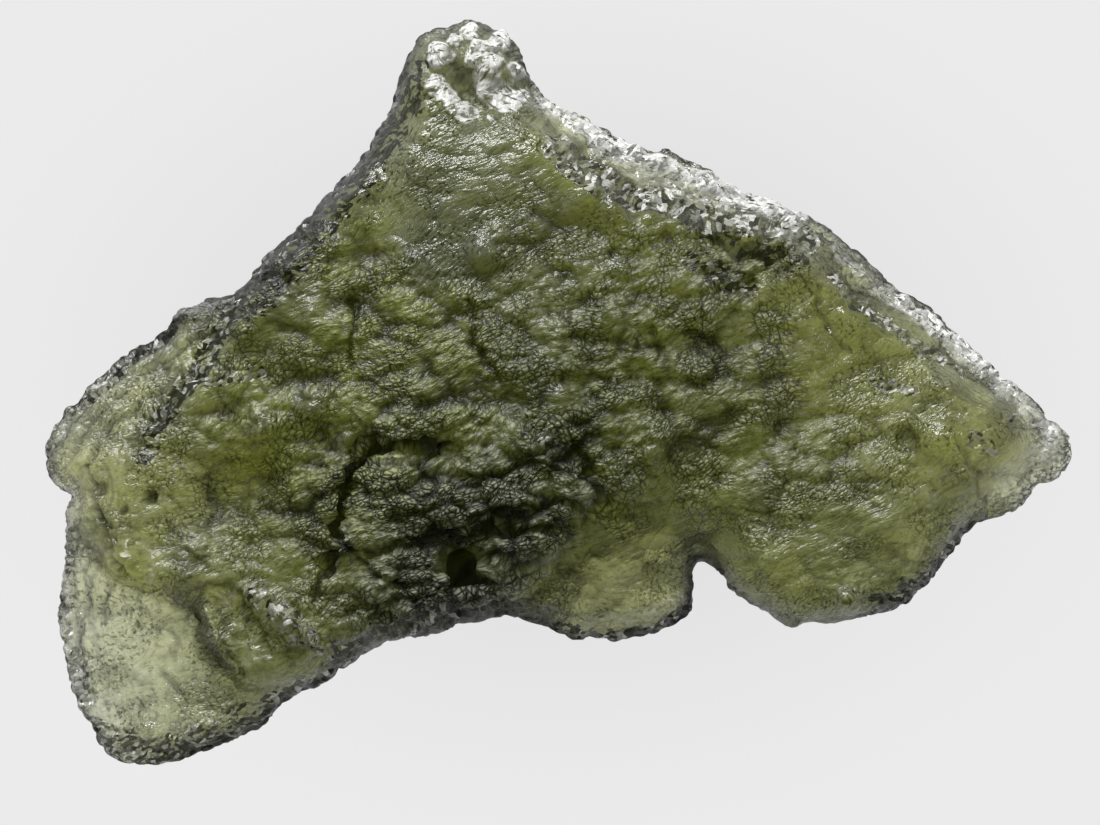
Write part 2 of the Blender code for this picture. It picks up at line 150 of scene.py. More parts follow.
# Broken, sparkling bands: the points along each, its half width, and the share of its facets that are white
# with a painted glint
SPANGLES = [
    (
        [(556, 150), (576, 168), (600, 184), (640, 200), (690, 206), (730, 216), (770, 227), (805, 243)],
        13, 0.6,
    ),
    ([(690, 222), (720, 236), (745, 240)], 5, 0.4),
    ([(830, 278), (850, 300), (872, 318), (900, 332), (925, 352)], 6, 0.45),
    ([(930, 352), (960, 372)], 4, 0.4),
    ([(874, 384), (908, 389)], 6, 0.6),
    ([(384, 100), (345, 165), (310, 205), (275, 250), (240, 292)], 11, 0.16),
    ([(246, 291), (222, 330), (200, 370), (178, 400), (155, 430)], 9, 0.22),
    ([(190, 386), (225, 380), (262, 372)], 5, 0.5),
    ([(96, 728), (150, 752), (200, 740), (250, 715), (300, 690), (340, 668)], 12, 0.24),
    ([(345, 655), (400, 636), (450, 618), (500, 610)], 9, 0.14),
    ([(880, 612), (915, 595), (945, 565), (968, 530)], 8, 0.12),
    ([(560, 628), (600, 638), (650, 632), (688, 612)], 6, 0.16),
    ([(258, 590), (272, 604), (298, 622), (334, 652)], 9, 0.5),
    ([(968, 438), (985, 446)], 7, 0.5),
    ([(526, 432), (556, 439)], 5, 0.4),
    ([(696, 262), (745, 290)], 12, 0.2),
    ([(1008, 420), (1040, 426)], 5, 0.3),
    ([(60, 600), (72, 650), (88, 700)], 6, 0.2),
    ([(88, 400), (120, 366), (165, 330)], 5, 0.3),
]

# Bands of painted shade on crumbly broken slopes: the points along each, its half width and the share of
# painted shade in it
SHADE_BANDS = [
    ([(410, 75), (390, 132), (352, 190), (314, 236), (280, 276), (254, 304)], 17, 0.72),
    ([(240, 300), (222, 330), (205, 365), (185, 395), (162, 425), (150, 455)], 10, 0.6),
    ([(108, 372), (130, 352), (165, 328), (196, 312)], 4, 0.6),
    ([(96, 728), (150, 752), (205, 744), (255, 720), (305, 694), (345, 668)], 10, 0.5),
    ([(345, 652), (400, 634), (450, 616), (505, 606)], 12, 0.55),
    ([(872, 608), (912, 592), (942, 563), (966, 530)], 11, 0.6),
    ([(560, 626), (600, 636), (650, 630), (690, 606)], 6, 0.5),
    ([(695, 226), (750, 246), (800, 262)], 10, 0.45),
    ([(560, 168), (600, 196), (650, 214), (700, 222)], 5, 0.5),
]
# Smooth, clear domes: sheet x, sheet y and radius
DOMES = [
    (265, 433, 22), (319, 405, 15), (347, 443, 14), (307, 308, 22), (210, 346, 9), (581, 208, 20),
    (615, 216, 15), (648, 214, 13), (738, 236, 13), (770, 290, 24), (679, 279, 12), (618, 271, 14),
    (734, 332, 13), (608, 466, 13), (851, 331, 26), (940, 440, 26), (560, 395, 12), (480, 250, 16),
    (655, 455, 14), (131, 560, 22), (130, 490, 18), (232, 606, 12), (244, 627, 13), (257, 646, 13),
    (193, 614, 9),
]
DOME_MM, DOME_SMOOTH, DOME_CLEAR = 0.20, 0.45, 0.5

# Round features, finer than the solid's: sheet x, sheet y, radius and height in millimetres
PITS = [
    (464, 568, 19, -0.55), (194, 616, 11, -0.3), (905, 436, 13, -0.35), (848, 598, 15, 0.3),
    (120, 690, 4, -0.12), (165, 655, 4, -0.12), (140, 600, 5, -0.12), (205, 690, 5, -0.15),
    (154, 496, 9, -0.6), (128, 508, 6, -0.5), (104, 488, 9, -0.45),
]
# Crevices and ridges: the points along each, its half width in sheet units and its height in millimetres
LINES = [
    ([(332, 570), (338, 540), (344, 505), (356, 470), (374, 450), (405, 446), (450, 447)], 4.5, -0.55),
    ([(318, 596), (328, 560), (336, 548)], 3.5, -0.4),
    ([(392, 520), (420, 512), (452, 500), (470, 508)], 3.5, -0.4),
    ([(462, 478), (500, 470), (545, 462), (570, 470)], 3.5, -0.45),
    ([(470, 520), (510, 508), (560, 500), (588, 508)], 3.5, -0.5),
    ([(450, 545), (480, 530), (520, 526), (560, 530)], 3.5, -0.5),
    ([(370, 552), (400, 545), (430, 548)], 3.5, -0.4),
    ([(570, 440), (590, 462), (602, 500)], 3.5, -0.5),
    ([(350, 610), (392, 600), (430, 588)], 3.5, -0.35),
    ([(356, 300), (360, 330), (352, 372)], 3, -0.35),
    ([(470, 300), (478, 345), (498, 380)], 3, -0.3),
    ([(700, 236), (730, 250), (772, 262)], 3.5, -0.4),
    ([(735, 290), (765, 268), (790, 250)], 3, -0.4),
    ([(650, 330), (668, 372)], 3, -0.3),
    ([(815, 300), (830, 330), (845, 352)], 3, -0.35),
    ([(98, 500), (112, 545), (132, 575)], 3, -0.4),
    ([(80, 520), (74, 575), (82, 640), (96, 700)], 2.5, -0.2),
    ([(93, 515), (88, 570), (96, 630), (110, 685)], 2.5, -0.18),
    ([(60, 440), (75, 405), (110, 370), (150, 345)], 2.5, -0.15),
    ([(76, 452), (95, 415), (125, 385), (162, 360)], 2.5, -0.15),
    ([(940, 345), (985, 385), (1030, 420)], 2.5, -0.15),
    ([(952, 440), (975, 470), (985, 505)], 3, -0.2),
    ([(226, 600), (242, 630), (262, 656)], 12, 0.35),
    ([(216, 596), (226, 636), (246, 672)], 2, -0.25),
    ([(240, 592), (260, 620), (274, 654)], 2, -0.3),
    ([(88, 466), (98, 500), (120, 536)], 2.5, -0.35),
    ([(66, 466), (98, 418), (146, 376), (200, 334)], 2, -0.25),
    ([(82, 474), (116, 424), (164, 388), (214, 342)], 2, -0.28),
    ([(56, 448), (84, 408), (124, 372), (176, 326)], 2, -0.2),
    ([(120, 450), (160, 410), (205, 360)], 2, -0.25),
    ([(262, 596), (296, 622), (334, 654)], 3, 0.3),
    ([(113, 586), (109, 602), (105, 622)], 2.5, -0.32),
    ([(122, 584), (126, 600)], 2, -0.25),
    ([(139, 596), (149, 614)], 2.5, -0.28),
    ([(154, 594), (164, 610)], 2, -0.25),
    ([(166, 674), (184, 692)], 2.5, -0.3),
    ([(168, 626), (184, 646)], 2, -0.25),
    ([(98, 562), (92, 594), (80, 640), (84, 690)], 2.5, -0.28),
]

# The front turns into the back over this slope of the surface, and the back has an even relief
FACE_SLOPE = 2.5
BACK_RELIEF = 0.7
# The relief at which the finest etching is at its full strength
FULL_ETCH = 1.5
# The relief sinks to this share at the rim, and to nothing on the spot that the stone lies on
RIM_FADE, RIM_SHARE = 24.0, 0.35
REST_FADE_MM = 0.4
# Knobs on the front and back: size on the sheet and height in millimetres, coarse to fine
FRONT_KNOBS = ((34.0, 0.48), (17.0, 0.27))
BACK_KNOBS = ((42.0, 0.30), (19.0, 0.12))
KNOB_STRETCH = 1.35
KNOB_BEND, KNOB_BEND_SIZE = 0.4, 0.6
KNOB_TILT = 0.45
KNOB_MIDDLE = 0.75
KNOB_SEED = 4
# Where in the noise each kind of relief is taken from
KNOB_STEP, BACK_PLACE = 10.0, 50.0
RAGGED_PLACES, WARP_PLACES, BEND_PLACE = (3.0, 9.0), (40.0, 45.0), 40.0
BODY_CREASE_PLACE, RIM_CREASE_PLACE, PATCH_PLACE = 70.0, 75.0, 60.0
RIM_CHIP_PLACE, SPANGLE_PLACE, GLINT_LUMP_PLACE = 90.0, 130.0, 150.0

# Flow lines: they slant down to the left over the body and follow the rim near it. Along the rim, places are
# counted from a turn around the sheet's middle that meets the notch.
SLANT = 0.5
FLOW_BEND, FLOW_BEND_SIZE = 24.0, 150.0
FLOW_WARP, FLOW_WARP_SIZE = 4.0, 26.0
FLOW_RIM_REACH, RIM_FLOW_FROM = 35.0, 0.5
RIM_START = 0.95
RUN_ROUNDS = 8
WRINKLE, WRINKLE_LENGTH, WRINKLE_MM = 10.0, 55.0, 0.14
WRINKLE_LEAST, WRINKLE_MOST = 0.25, 1.2

# Chips along the edge and in the sparkling bands, and the height of the lumps with a painted glint
RIM_CHIPS, RIM_CHIP_MM, RIM_REACH = 11.0, 0.22, 12.0
SPANGLE_CHIPS, SPANGLE_MM = 9.0, 0.16
GLINT_LUMP_MM, GLINT_LUMP_SIZE = 0.24, 22.0
# How far the borders of patches and bands stray, and over what size
RAGGED, RAGGED_SIZE = 6.0, 14.0

# Painted shade between knobs, and in cuts too, by their depth in millimetres
HOLLOW_SHADE, HOLLOW_SLOPE = 0.7, 2.4
CUT_SHADE, CUT_DARKEST = 1.6, 0.95
# The haze is thinner between knobs
HAZE_START, HAZE_SLOPE = 0.8, 1.2
# Rough patches among smoother ones, PATCH in size
PATCH_MIDDLE, PATCH_SLOPE = 0.5, 3.0

# The glass: absorption in 1/m is (1 - colour) times density
ABSORPTION_COLOUR = (0.64, 0.665, 0.18, 1.0)
ABSORPTION_DENSITY = 700.0
GLASS_IOR = 1.49
SMOOTH_ROUGHNESS, ETCHED_ROUGHNESS = 0.10, 0.62
CLEAR_COLOUR = (0.97, 0.98, 0.94, 1.0)
HAZE_COLOUR = (0.63, 0.69, 0.22, 1.0)
# A painted shade colour, where little light comes through the glass
THICK_SHADE_COLOUR = (0.12, 0.13, 0.09, 1.0)
# A painted glint colour
GLINT_COLOUR = (0.84, 0.84, 0.82, 1.0)
# The dark of specks and of painted shade
SPECK_AND_SHADE_COLOUR = (0.004, 0.005, 0.003, 1.0)
# Shares that take the place of passing light: the haze, the painted shade and the painted glint
HAZE_SHARE, THICK_SHADE_SHARE, GLINT_SHARE = 0.40, 0.50, 0.80

# The finest relief, made in the material: sizes in sheet units, across and along the flow
BUMP_DEPTH = 0.00021
SHINGLE, SHINGLE_LENGTH = 11.0, 16.0
SCALE, SCALE_LENGTH = 4.4, 6.2
STREAK, STREAK_LENGTH = 3.4, 10.0
FACET, FACET_LENGTH, FACET_SLOPE = 3.6, 5.2, 2.4
FACET_MIDDLE = (0.5, 0.5, 0.5)
GRAIN, PATCH = 3.6, 38.0

# Heights of the fine relief, as shares of BUMP_DEPTH: shingles and scales are level from CELL_LEVEL inwards,
# and the scales and creases are stronger in rough patches
CELL_LEVEL = 0.35
SHINGLE_HEIGHT, SCALE_SPAN, STREAK_HEIGHT = 0.45, (0.12, 0.36), 0.38
BUMP_SPAN = (0.5, 1.0)
CLOUD_ROUGHNESS, STREAK_DETAIL = 0.6, 2.0

# Broken bands: where they hold, how bright their white facets of painted glint are and which others are gaps
# of painted shade
BROKEN_EDGE, GLINT_SPAN = (0.2, 0.7), (0.3, 1.0)
GAP_SHADE_EDGE, GAP_SHADE_DEPTH = (0.4, 0.7), 0.8
# The painted glint shows where it is strong enough, and not in the lowest streaks
GLINT_EDGE, GLINT_STREAKS = (0.3, 0.6), (0.30, 0.46)

# Painted shade as dark lines in the creases and streaks, and dark specks
CREASE_SHADE_EDGE, FINE_CREASE_SHADE_EDGE, FINE_CREASE_SHADE_DEPTH = (0.01, 0.09), (0.0, 0.18), 0.85
CREASE_SHADE_SPAN = (0.25, 1.0)
GROOVE_SHADE_EDGE, GROOVE_SHADE_SPAN = (0.36, 0.46), (0.15, 0.45)
SPECK_EDGE, SPECK_DARK = (0.62, 0.72), 0.5
# Light that passes through is tinted by the square root of the shader's colour
KEEP_POWER = 2.0
# Tops of the fine relief are duller than its low places
TOPS_EDGE, TOPS_SPAN = (0.29, 0.74), (0.45, 0.55)

# The room
FLOOR_RADIUS, FLOOR_CORNERS = 1.5, 64
FLOOR_DROP = 0.00004
FLOOR_GLOW = 0.83
# A painted soft shadow of the stone dims the glow: its size along x, y and z, and its depth
SHADE_SPAN, SHADE_DEPTH = (0.030, 0.022, 1.0), 0.14
ZENITH, HORIZON, HORIZON_REACH = 0.08, 0.55, 0.25
# Soft boxes: name, place, size and power in watts
SOFT_BOXES = [
    ("key", (-0.10, 0.42, 0.18), 0.20, 2.7),
    ("spark_right", (0.30, 0.16, 0.34), 0.05, 0.22),
    ("spark_left", (-0.28, 0.10, 0.40), 0.05, 0.18),
]


def distance_to_line(points, route):
    """Each point's distance to an open line."""
    starts, ends = np.array(route[:-1], float), np.array(route[1:], float)
    along = ends - starts
    away = points[:, None, :] - starts[None, :, :]
    share = np.clip((away * along).sum(-1) / (along**2).sum(-1), 0, 1)
    return np.linalg.norm(away - share[..., None] * along, axis=-1).min(axis=1)


def smooth_step(value):
    share = np.clip(value, 0, 1)
    return share * share * (3 - 2 * share)


def from_marks(points, marks):
    """The value at each point, smoothly between the marks near it."""
    marks = np.array(marks, float)
    squares = ((points[:, None, :] - marks[None, :, :2]) ** 2).sum(-1)
    nearest = squares.min(axis=1, keepdims=True)
    weights = np.exp((nearest - squares) / (2 * MARK_REACH**2))
    return (weights * marks[:, 2]).sum(axis=1) / weights.sum(axis=1)


def patches(points, places):
    """1 in the middle of each round patch, falling to 0 a little past its radius."""
    total = np.zeros(len(points))
    for x, y, radius in places:
        distance = np.hypot(points[:, 0] - x, points[:, 1] - y)
        total = np.maximum(total, smooth_step(PATCH_END - distance / radius))
    return total


def bands(points, places):
    """How far in a band each point is, and the share of the band's facets with a painted glint, for the band
    that it is deepest in.
    """
    total = np.zeros(len(points))
    glint_odds = np.zeros(len(points))
    for route, half_width, share in places:
        inside = smooth_step(BAND_END - distance_to_line(points, route) / half_width)
        glint_odds = np.where(inside > total, share, glint_odds)
        total = np.maximum(total, inside)
    return total, glint_odds


def rounds(points, features):
    """Domes and round pits."""
    total = np.zeros(len(points))
    for x, y, radius, height in features:
        share = ((points[:, 0] - x) ** 2 + (points[:, 1] - y) ** 2) / radius**2
        total += height * np.clip(1 - share, 0, None)
    return total


def crevices(points, lines):
    """Cut and raised lines."""
    total = np.zeros(len(points))
    for route, half_width, height in lines:
        distance = distance_to_line(points, route)
        total += height * smooth_step(LINE_END - distance / half_width)
    return total


def smooth_noise(points, size, seed):
    """Noise from -1 to 1 over features of this size."""
    return np.array([noise.noise(Vector((x, y, z + seed))) for x, y, z in points / size])


def knobs(points, size, seed):
    """Overlapping rounded knobs with creases between them, each tipped up towards its lower side."""
    heights = []
    for x, y, z in points / size:
        bend = noise.noise_vector(Vector((x, y, z + seed)) * KNOB_BEND_SIZE)
        spot = Vector((x / KNOB_STRETCH, y, z + seed)) + KNOB_BEND * bend
        distances, middles = noise.voronoi(spot)
        heights.append(1 - distances[0] ** 2 + KNOB_TILT * (spot.y - middles[0].y))
    return np.array(heights) - KNOB_MIDDLE


def rim_of(mesh):
    """The points where the front turns over to the back."""
    shape = bmesh.new()
    shape.from_mesh(mesh)
    shape.normal_update()
    edges = [
        edge for edge in shape.edges
        if len(edge.link_faces) == 2 and edge.link_faces[0].normal.z * edge.link_faces[1].normal.z < 0
        and edge.verts[0].co.z > MM
    ]
    rim = {vert.index: vert.co.copy() for edge in edges for vert in edge.verts}
    shape.free()
    return rim


def welded_copy(node):
    """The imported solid's mesh, welded, with its rim creased and ready to subdivide."""
    mesh = node.data.copy()
    shape = bmesh.new()
    shape.from_mesh(mesh)
    bmesh.ops.remove_doubles(shape, verts=shape.verts, dist=WELD)
    shape.normal_update()
    crease = shape.edges.layers.float.new("crease_edge")
    for edge in shape.edges:
        if len(edge.link_faces) == 2:
            first, second = (face.normal for face in edge.link_faces)
            if first.z * second.z < 0 and min(vert.co.z for vert in edge.verts) > MM:
                edge[crease] = RIM_CREASE
    shape.to_mesh(mesh)
    shape.free()
    mesh.materials.clear()
    return mesh


def subdivided(mesh):
    piece = bpy.data.objects.new("rough", mesh)
    bpy.context.scene.collection.objects.link(piece)
    divide = piece.modifiers.new("divide", "SUBSURF")
    divide.levels = LEVELS
    divide.render_levels = LEVELS
    fine = bpy.data.meshes.new_from_object(piece.evaluated_get(bpy.context.evaluated_depsgraph_get()))
    bpy.data.objects.remove(piece)
    return fine


def vertices_of(mesh):
    places = np.empty(len(mesh.vertices) * 3, np.float32)
    mesh.vertices.foreach_get("co", places)
    normals = np.empty(len(mesh.vertices) * 3, np.float32)
    mesh.vertices.foreach_get("normal", normals)
    return places.reshape(-1, 3).astype(float), normals.reshape(-1, 3).astype(float)


def on_sheet(places):
    """Sheet x, sheet y and height, all in sheet units, of places in metres."""
    return np.stack(
        [places[:, 0] / UNIT + SHEET_MIDDLE[0], SHEET_MIDDLE[1] - places[:, 1] / UNIT, places[:, 2] / UNIT],
        axis=1,
    )


def averaged(mesh, values, rounds_done):
    """The values smoothed over neighbouring points of the mesh."""
    ends = np.empty(len(mesh.edges) * 2, np.int32)
    mesh.edges.foreach_get("vertices", ends)
    first, second = ends[0::2], ends[1::2]
    count = np.bincount(ends, minlength=len(values))
    for _ in range(rounds_done):
        total = np.bincount(first, values[second], len(values))
        total += np.bincount(second, values[first], len(values))
        values = (values + total / count) / 2
    return values


def rim_places(sheet, mesh):
    """Each point's distance to the rim, on the sheet and in space, and how far along the rim that is."""
    rim = on_sheet(np.array([place[:] for place in rim_of(mesh).values()]))
    turn = np.arctan2(rim[:, 1] - SHEET_MIDDLE[1], rim[:, 0] - SHEET_MIDDLE[0])
    rim = rim[np.argsort((turn - RIM_START) % (2 * np.pi))]
    steps = np.linalg.norm(np.diff(rim[:, :2], axis=0), axis=1)
    along = np.concatenate([[0.0], np.cumsum(steps)])
    tree = kdtree.KDTree(len(rim))
    for i, (x, y, _) in enumerate(rim):
        tree.insert((x, y, 0.0), i)
    tree.balance()
    found = [tree.find((x, y, 0.0)) for x, y, _ in sheet]
    nearest = np.array([index for _, index, _ in found])
    distance = np.array([away for _, _, away in found])
    reach = np.linalg.norm(sheet - rim[nearest], axis=1)
    return distance, reach, averaged(mesh, along[nearest], RUN_ROUNDS)


def add_values(mesh, name, values):
    layer = mesh.attributes.new(name, "FLOAT", "POINT")
    layer.data.foreach_set("value", values.astype(np.float32))


def add_vectors(mesh, name, vectors):
    layer = mesh.attributes.new(name, "FLOAT_VECTOR", "POINT")
    layer.data.foreach_set("vector", vectors.astype(np.float32).ravel())


def flows(sheet, reach, run):
    """Places along the body's flow lines, and along the rim's."""
    slope = np.hypot(SLANT, 1.0)
    bend = FLOW_BEND * smooth_noise(sheet, FLOW_BEND_SIZE, BEND_PLACE)
    slant = (SLANT * sheet[:, 0] + sheet[:, 1]) / slope + bend
    length = (sheet[:, 0] - SLANT * sheet[:, 1]) / slope
    none = np.zeros(len(sheet))
    warp = [FLOW_WARP * smooth_noise(sheet, FLOW_WARP_SIZE, place) for place in WARP_PLACES]
    body_flow = np.stack([slant + warp[0], length + warp[1], none], axis=1)
    rim_flow = np.stack([reach + warp[0], run + warp[1], none], axis=1)
    return body_flow, rim_flow


def move_points(mesh, places, normals, rise):
    """Moves each point out by its rise in millimetres, inside the solid's box."""
    moved = places + normals * (rise * MM)[:, None]
    moved[:, 2] = np.maximum(moved[:, 2], 0.0)
    low, high = np.array(CAD_BOX[0]), np.array(CAD_BOX[1])
    moved = np.clip(moved, low, high)
    mesh.vertices.foreach_set("co", moved.astype(np.float32).ravel())
    mesh.shade_smooth()
    mesh.update()


def sculpt(mesh):
    """Raises the fine relief, and stores what the glass's nodes need at each point."""
    places, normals = vertices_of(mesh)
    sheet = on_sheet(places)
    flat = sheet[:, :2]
    rim, reach, run = rim_places(sheet, mesh)

    # Where each kind of surface is
    front = smooth_step(normals[:, 2] * FACE_SLOPE)
    relief = front * from_marks(flat, RELIEF_MARKS) + (1 - front) * BACK_RELIEF
    inner = smooth_step(rim / RIM_FADE)
    stray = np.stack([smooth_noise(sheet, RAGGED_SIZE, place) for place in RAGGED_PLACES], axis=1)
    ragged = flat + RAGGED * stray
    domes = front * patches(ragged, DOMES)
    relief *= 1 - DOME_SMOOTH * domes
    # Where glints are painted: on the lumps of the peak and, fainter, along the pale strips; the lumps are
    # raised too
    faint_glint = PALE_GLINT * crevices(ragged, [(route, half_width, 1.0) for route, half_width in PALE_STRIPS])
    glint_places = front * np.maximum(patches(ragged, GLINT_LUMPS), faint_glint)
    broken, glint_odds = bands(ragged, SPANGLES)
    broken *= front
    body_flow, rim_flow = flows(sheet, reach, run)
    border = 1 - smooth_step((rim - FLOW_RIM_REACH) / FLOW_RIM_REACH)

    # The relief, in millimetres
    rise = np.zeros(len(places))
    tops = np.zeros(len(places))
    for step, (size, height) in enumerate(FRONT_KNOBS):
        shape = knobs(sheet, size, KNOB_STEP * step)
        rise += front * relief * height * shape
        tops += shape / len(FRONT_KNOBS)
    for step, (size, height) in enumerate(BACK_KNOBS):
        rise += (1 - front) * height * knobs(sheet, size, BACK_PLACE + KNOB_STEP * step)
    rise *= RIM_SHARE + (1 - RIM_SHARE) * inner
    fold = (WRINKLE, WRINKLE_LENGTH, WRINKLE_LENGTH)
    creases = (1 - border) * np.abs(smooth_noise(body_flow / fold, 1.0, BODY_CREASE_PLACE))
    creases += border * np.abs(smooth_noise(rim_flow / fold, 1.0, RIM_CREASE_PLACE))
    rise -= WRINKLE_MM * np.clip(relief, WRINKLE_LEAST, WRINKLE_MOST) * creases
    cuts = front * (rounds(flat, PITS) + crevices(ragged, LINES))
    rise += cuts + front * rounds(flat, [(x, y, radius, DOME_MM) for x, y, radius in DOMES])
    rise += RIM_CHIP_MM * knobs(sheet, RIM_CHIPS, RIM_CHIP_PLACE) * np.exp(-rim / RIM_REACH)
    rise += SPANGLE_MM * broken * knobs(sheet, SPANGLE_CHIPS, SPANGLE_PLACE)
    rise += GLINT_LUMP_MM * glint_places * (1 + knobs(sheet, GLINT_LUMP_SIZE, GLINT_LUMP_PLACE))
    rise *= smooth_step(places[:, 2] / (REST_FADE_MM * MM))
    move_points(mesh, places, normals, rise)

    # How the glass looks at each point, painted shade included
    # Painted shade along the edge, between knobs and in cuts
    edge = from_marks(flat, EDGE_SHADE_MARKS) * np.exp(-(rim / EDGE_SHADE_REACH) ** 2)
    shade_between_knobs = HOLLOW_SHADE * relief * (1 - smooth_step(1.0 + HOLLOW_SLOPE * tops)) * inner
    shade_in_cuts = np.clip(-CUT_SHADE * cuts, 0, CUT_DARKEST)
    shade = 1 - (1 - edge) * (1 - shade_between_knobs) * (1 - shade_in_cuts)
    haze = front * from_marks(flat, HAZE_MARKS) * smooth_step(HAZE_START + HAZE_SLOPE * tops)
    rough = smooth_step(PATCH_MIDDLE + PATCH_SLOPE * smooth_noise(sheet, PATCH, PATCH_PLACE))
    add_values(mesh, "etch", np.clip(relief / FULL_ETCH, 0, 1))
    add_values(mesh, "haze", haze * (1 - DOME_CLEAR * domes))
    # Painted shade in the crumbly bands
    add_values(mesh, "band_shade", front * crevices(ragged, SHADE_BANDS))
    add_values(mesh, "shade", np.clip(shade, 0, 1))
    # Painted shade where little light comes through
    add_values(mesh, "thick_shade", front * from_marks(flat, THICK_SHADE_MARKS))
    # Places of painted glint, the broken bands, and each band's share of facets with a painted glint
    add_values(mesh, "glint_places", glint_places)
    add_values(mesh, "broken", broken)
    add_values(mesh, "glint_odds", glint_odds)
    add_values(mesh, "border", border)
    add_values(mesh, "patch", rough)
    add_vectors(mesh, "body_flow", body_flow)
    add_vectors(mesh, "rim_flow", rim_flow)


def node(tree, kind, **inputs):
    made = tree.nodes.new(kind)
    for name, value in inputs.items():
        made.inputs[name.replace("_", " ")].default_value = value
    return made


def maths(tree, operation, first, second):
    made = tree.nodes.new("ShaderNodeMath")
    made.operation = operation
    for socket, value in zip(made.inputs, (first, second)):
        if isinstance(value, (int, float)):
            socket.default_value = value
        else:
            tree.links.new(value, socket)
    return made.outputs[0]


def attribute(tree, name):
    made = tree.nodes.new("ShaderNodeAttribute")
    made.attribute_name = name
    return made


def stored(tree, name):
    """A value that the mesh has at each point."""
    return attribute(tree, name).outputs["Fac"]


def mixed_colour(tree, share, first, second):
    made = tree.nodes.new("ShaderNodeMix")
    made.data_type = "RGBA"
    tree.links.new(share, made.inputs["Factor"])
    for socket, value in ((made.inputs["A"], first), (made.inputs["B"], second)):
        if isinstance(value, tuple):
            socket.default_value = value
        else:
            tree.links.new(value, socket)
    return made.outputs["Result"]


def mixed_value(tree, share, first, second):
    made = tree.nodes.new("ShaderNodeMix")
    sockets = [made.inputs[name] for name in ("Factor", "A", "B")]
    for socket, value in zip(sockets, (share, first, second)):
        if isinstance(value, (int, float)):
            socket.default_value = value
        else:
            tree.links.new(value, socket)
    return made.outputs["Result"]


def vector_maths(tree, operation, first, second):
    made = tree.nodes.new("ShaderNodeVectorMath")
    made.operation = operation
    for socket, value in zip(made.inputs, (first, second)):
        if isinstance(value, tuple):
            socket.default_value = value
        else:
            tree.links.new(value, socket)
    return made.outputs["Value" if operation == "DOT_PRODUCT" else "Vector"]


def between(tree, value, low, high):
    """0 up to low, 1 from high on."""
    made = tree.nodes.new("ShaderNodeMapRange")
    made.interpolation_type = "SMOOTHSTEP"
    made.inputs["From Min"].default_value = low
    made.inputs["From Max"].default_value = high
    tree.links.new(value, made.inputs["Value"])
    return made.outputs["Result"]


def cells(tree, vector, feature):
    made = node(tree, "ShaderNodeTexVoronoi", Scale=1.0)
    made.voronoi_dimensions = "2D"
    made.feature = feature
    tree.links.new(vector, made.inputs["Vector"])
    return made


def cloud(tree, vector, detail):
    made = node(tree, "ShaderNodeTexNoise", Scale=1.0, Detail=detail, Roughness=CLOUD_ROUGHNESS)
    made.noise_dimensions = "2D"
    tree.links.new(vector, made.inputs["Vector"])
    return made.outputs["Fac"]


def flow_vector(tree):
    """The flow that holds here, the rim's or the body's."""
    near_rim = maths(tree, "GREATER_THAN", stored(tree, "border"), RIM_FLOW_FROM)
    chosen = tree.nodes.new("ShaderNodeMix")
    chosen.data_type = "VECTOR"
    tree.links.new(near_rim, chosen.inputs["Factor"])
    vectors = [socket for socket in chosen.inputs if socket.type == "VECTOR" and socket.name in ("A", "B")]
    for socket, name in zip(vectors, ("body_flow", "rim_flow")):
        tree.links.new(attribute(tree, name).outputs["Vector"], socket)
    return next(socket for socket in chosen.outputs if socket.type == "VECTOR")


def stretched(tree, flow, across, along):
    return vector_maths(tree, "MULTIPLY", flow, (1 / across, 1 / along, 0.0))


def facet_tilt(tree, place, facets):
    """A height that gives each facet its own slope."""
    away = vector_maths(tree, "SUBTRACT", place, facets.outputs["Position"])
    slope = vector_maths(tree, "SUBTRACT", facets.outputs["Color"], FACET_MIDDLE)
    return maths(tree, "MULTIPLY", vector_maths(tree, "DOT_PRODUCT", away, slope), FACET_SLOPE)


def less(tree, *values):
    """The product of 1 minus each value."""
    product = 1.0
    for value in values:
        product = maths(tree, "MULTIPLY", product, maths(tree, "SUBTRACT", 1.0, value))
    return product


def fine_relief(tree, body, streaks, etch, patch):
    """The height of the shingles, scales and streaks, and the painted shade in the creases and grooves in
    them.
    """
    shingles = cells(tree, stretched(tree, body, SHINGLE, SHINGLE_LENGTH), "DISTANCE_TO_EDGE")
    scales = cells(tree, stretched(tree, body, SCALE, SCALE_LENGTH), "DISTANCE_TO_EDGE")
    shingle_edge, scale_edge = shingles.outputs["Distance"], scales.outputs["Distance"]
    cobbles = maths(tree, "MULTIPLY", between(tree, shingle_edge, 0.0, CELL_LEVEL), SHINGLE_HEIGHT)
    scale_height = mixed_value(tree, patch, *SCALE_SPAN)
    fine = maths(tree, "MULTIPLY", between(tree, scale_edge, 0.0, CELL_LEVEL), scale_height)
    cobbles = maths(tree, "ADD", cobbles, fine)
    cobbles = maths(tree, "MULTIPLY", cobbles, etch)
    height = maths(tree, "ADD", cobbles, maths(tree, "MULTIPLY", streaks, STREAK_HEIGHT))

    # Painted shade in the creases between shingles and scales, and in the grooves along the streaks
    crease = maths(tree, "SUBTRACT", 1.0, between(tree, shingle_edge, *CREASE_SHADE_EDGE))
    fine_crease_shade = maths(tree, "SUBTRACT", 1.0, between(tree, scale_edge, *FINE_CREASE_SHADE_EDGE))
    crease = maths(tree, "MAXIMUM", crease, maths(tree, "MULTIPLY", fine_crease_shade, FINE_CREASE_SHADE_DEPTH))
    crease = maths(tree, "MULTIPLY", crease, mixed_value(tree, patch, *CREASE_SHADE_SPAN))
    crease = maths(tree, "MULTIPLY", crease, etch)
    groove_shade = maths(tree, "SUBTRACT", 1.0, between(tree, streaks, *GROOVE_SHADE_EDGE))
    groove_shade = maths(tree, "MULTIPLY", groove_shade, mixed_value(tree, etch, *GROOVE_SHADE_SPAN))
    return height, crease, groove_shade


